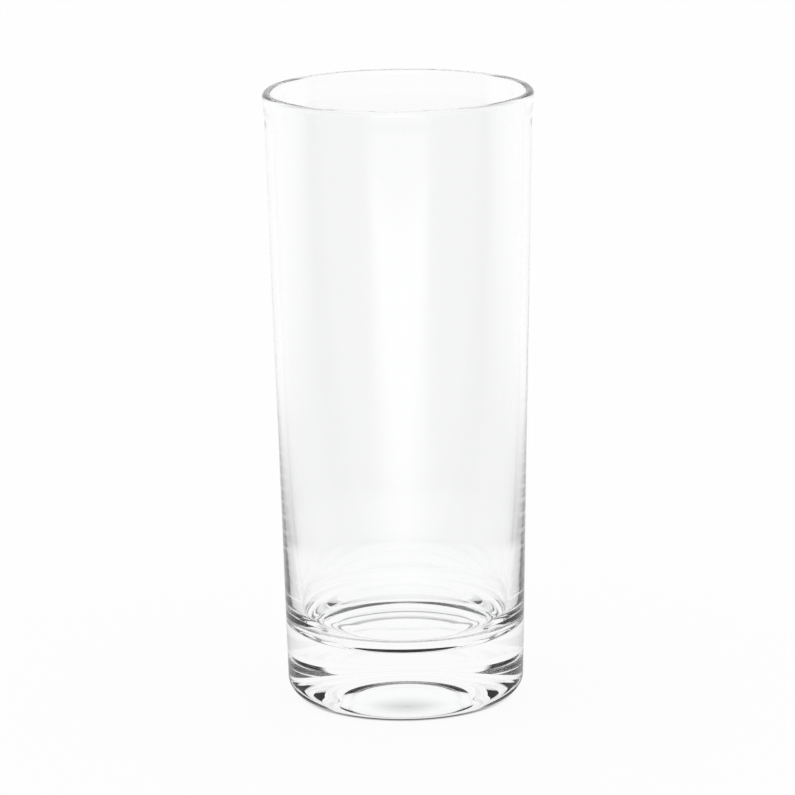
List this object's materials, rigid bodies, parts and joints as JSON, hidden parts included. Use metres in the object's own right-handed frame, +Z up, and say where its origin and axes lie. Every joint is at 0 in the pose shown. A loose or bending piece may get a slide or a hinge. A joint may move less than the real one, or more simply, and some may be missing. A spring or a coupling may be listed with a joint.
{
  "type": "highball glass",
  "caption": "Tall clear highball glass with a slightly tapered thin wall, fire-polished rim and thick push-up base.",
  "frame": {"origin": "middle of the table plane, under the centre of the base", "axes": "+Z up along the glass's axis of rotation; the glass looks the same from every side, so X and Y are free"},
  "size_m": [0.0654, 0.0654, 0.15],
  "materials": {
    "glass": "clear colourless soda-lime glass, fire-polished"
  },
  "bodies": {
    "root": {"rim": "glass", "wall": "glass", "base": "glass"}
  },
  "joints": []
}
